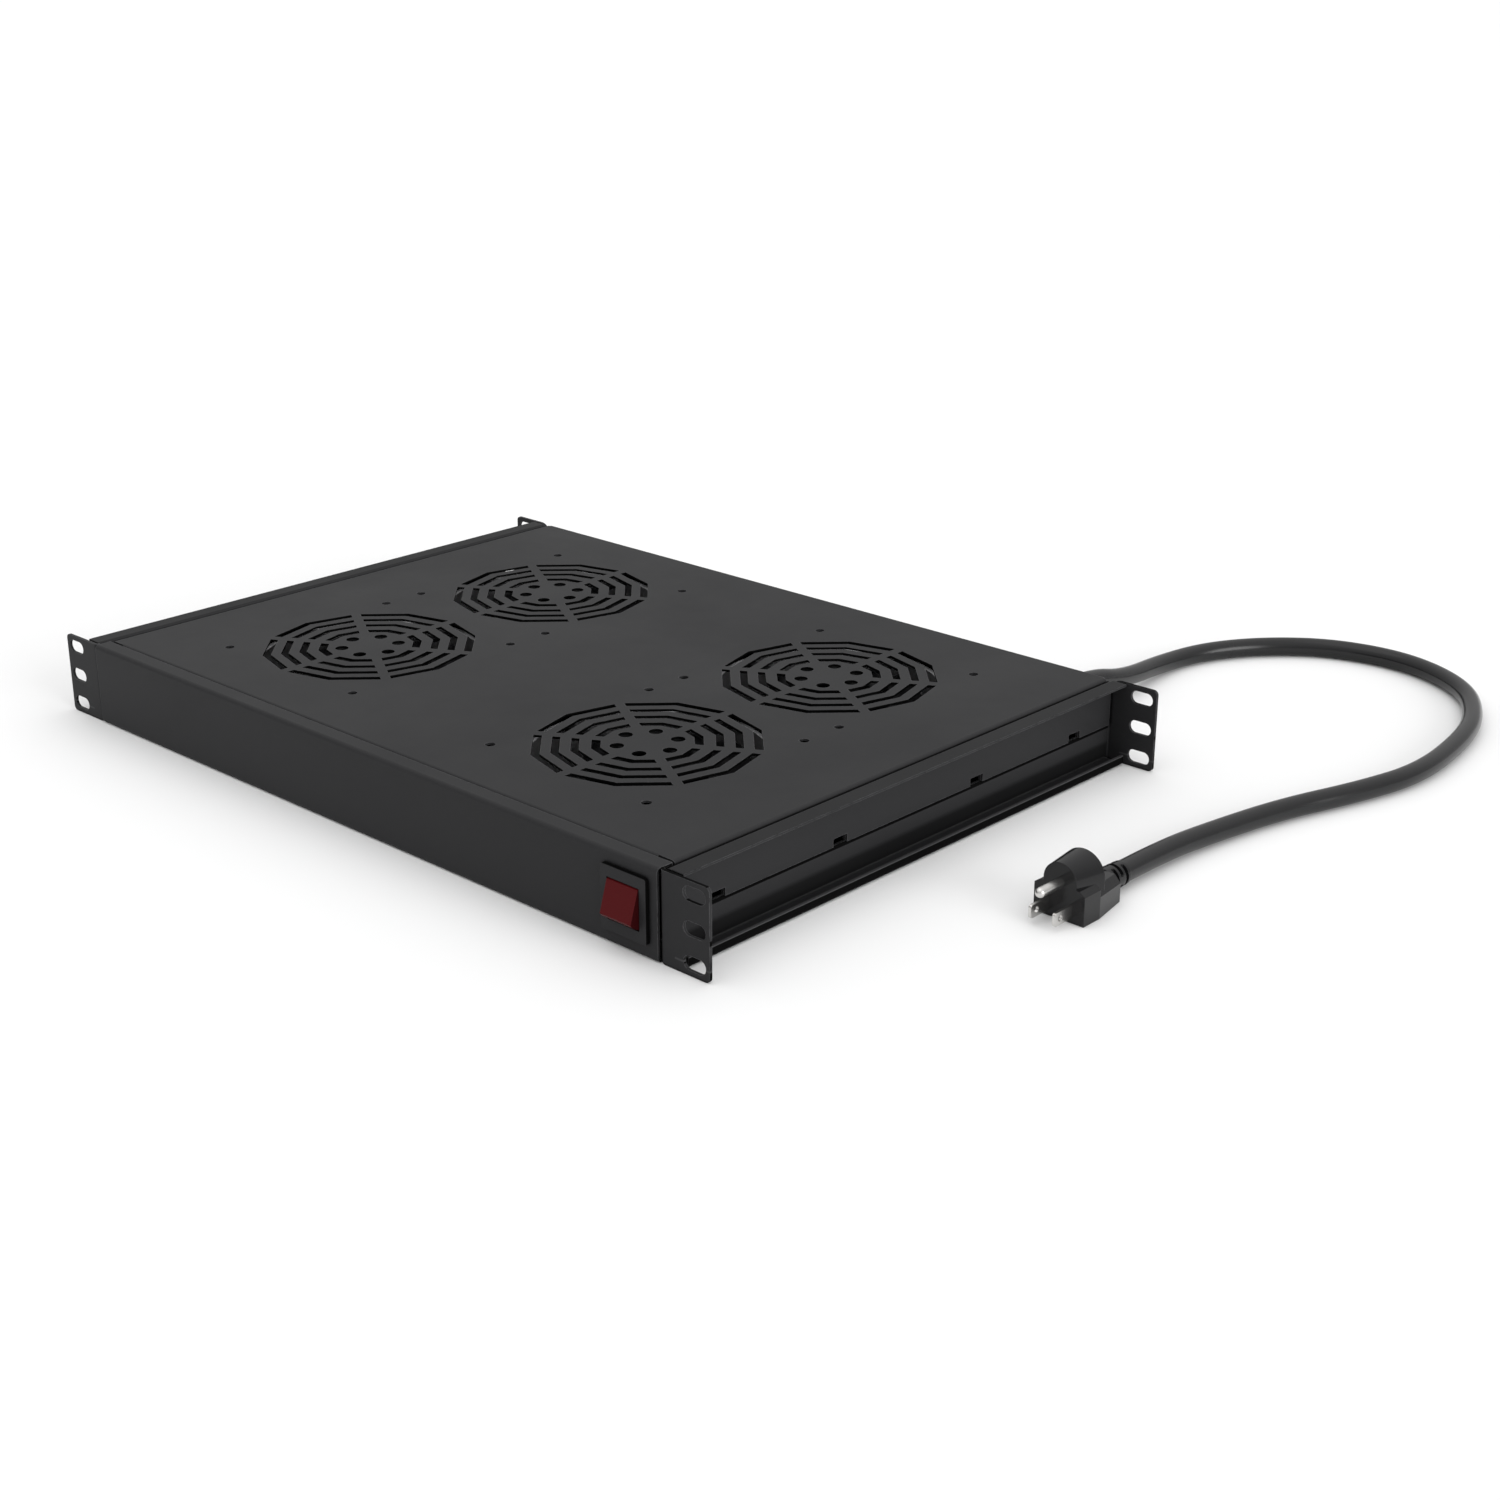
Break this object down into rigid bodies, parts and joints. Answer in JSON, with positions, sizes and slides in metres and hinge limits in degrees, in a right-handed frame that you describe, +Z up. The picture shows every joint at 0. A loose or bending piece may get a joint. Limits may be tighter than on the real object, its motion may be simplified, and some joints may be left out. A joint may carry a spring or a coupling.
{
  "type": "rack fan tray",
  "caption": "Flat black sheet-metal tray for an equipment rack, with punched air grilles over axial mains fans, slotted ears at both ends, a red rocker switch and a mains cord with plug.",
  "frame": {"origin": "centre of the bounding box of the tray without its cord, on the surface that it stands on", "axes": "+X to the right seen from the front, +Y to the back, +Z up"},
  "size_m": [0.5926, 0.5666, 0.0436],
  "materials": {
    "powder_black": "textured semi-gloss black powder coat",
    "cast_black": "black painted die casting",
    "rotor_black": "black painted pressed steel",
    "bronze": "sintered bronze",
    "laminations": "varnished laminations",
    "steel": "ground steel",
    "zinc_screw": "bright zinc plating",
    "switch_black": "black moulded plastic",
    "rocker_red": "red translucent plastic",
    "tab_metal": "tinned brass",
    "gland_black": "black nylon",
    "block_grey": "grey moulded plastic",
    "cord_black": "smooth black PVC sheath",
    "plug_black": "moulded black PVC",
    "plated_contact": "nickel plated brass"
  },
  "bodies": {
    "casing": {"bracket_left": "powder_black", "bracket_right": "powder_black", "cord_tail": "cord_black", "fan_bearing_front_left": "bronze", "fan_bearing_front_right": "bronze", "fan_bearing_rear_left": "bronze", "fan_bearing_rear_right": "bronze", "fan_housing_front_left": "cast_black", "fan_housing_front_right": "cast_black", "fan_housing_rear_left": "cast_black", "fan_housing_rear_right": "cast_black", "fan_screws": "zinc_screw", "fan_stator_front_left": "laminations", "fan_stator_front_right": "laminations", "fan_stator_rear_left": "laminations", "fan_stator_rear_right": "laminations", "gland_body": "gland_black", "gland_cap": "gland_black", "gland_locknut": "gland_black", "lid": "powder_black", "lid_screws": "zinc_screw", "plug_blades": "plated_contact", "plug_body": "plug_black", "plug_earth_pin": "plated_contact", "plug_relief": "plug_black", "power_cord": "cord_black", "rail_left": "powder_black", "rail_right": "powder_black", "switch_body": "switch_black", "switch_terminals": "tab_metal", "terminal_block": "block_grey", "terminal_screws": "zinc_screw", "tray": "powder_black", "wiring": "cord_black"},
    "rocker": {"switch_rocker": "rocker_red"},
    "rotor_front_left": {"fan_rotor_front_left": "rotor_black", "fan_shaft_front_left": "steel"},
    "rotor_front_right": {"fan_rotor_front_right": "rotor_black", "fan_shaft_front_right": "steel"},
    "rotor_rear_left": {"fan_rotor_rear_left": "rotor_black", "fan_shaft_rear_left": "steel"},
    "rotor_rear_right": {"fan_rotor_rear_right": "rotor_black", "fan_shaft_rear_right": "steel"}
  },
  "joints": [
    {"name": "rocker_switch", "type": "hinge", "parent": "casing", "child": "rocker", "pos_m": [0.1933, -0.15951, 0.0224], "axis": [1, 0, 0], "range_deg": [0, 34]},
    {"name": "fan_spin_front_left", "type": "hinge", "parent": "casing", "child": "rotor_front_left", "pos_m": [-0.105, -0.06051, 0.0202], "axis": [0, 0, 1], "continuous": true},
    {"name": "fan_spin_front_right", "type": "hinge", "parent": "casing", "child": "rotor_front_right", "pos_m": [0.105, -0.06051, 0.0202], "axis": [0, 0, 1], "continuous": true},
    {"name": "fan_spin_rear_left", "type": "hinge", "parent": "casing", "child": "rotor_rear_left", "pos_m": [-0.105, 0.06949, 0.0202], "axis": [0, 0, 1], "continuous": true},
    {"name": "fan_spin_rear_right", "type": "hinge", "parent": "casing", "child": "rotor_rear_right", "pos_m": [0.105, 0.06949, 0.0202], "axis": [0, 0, 1], "continuous": true}
  ]
}
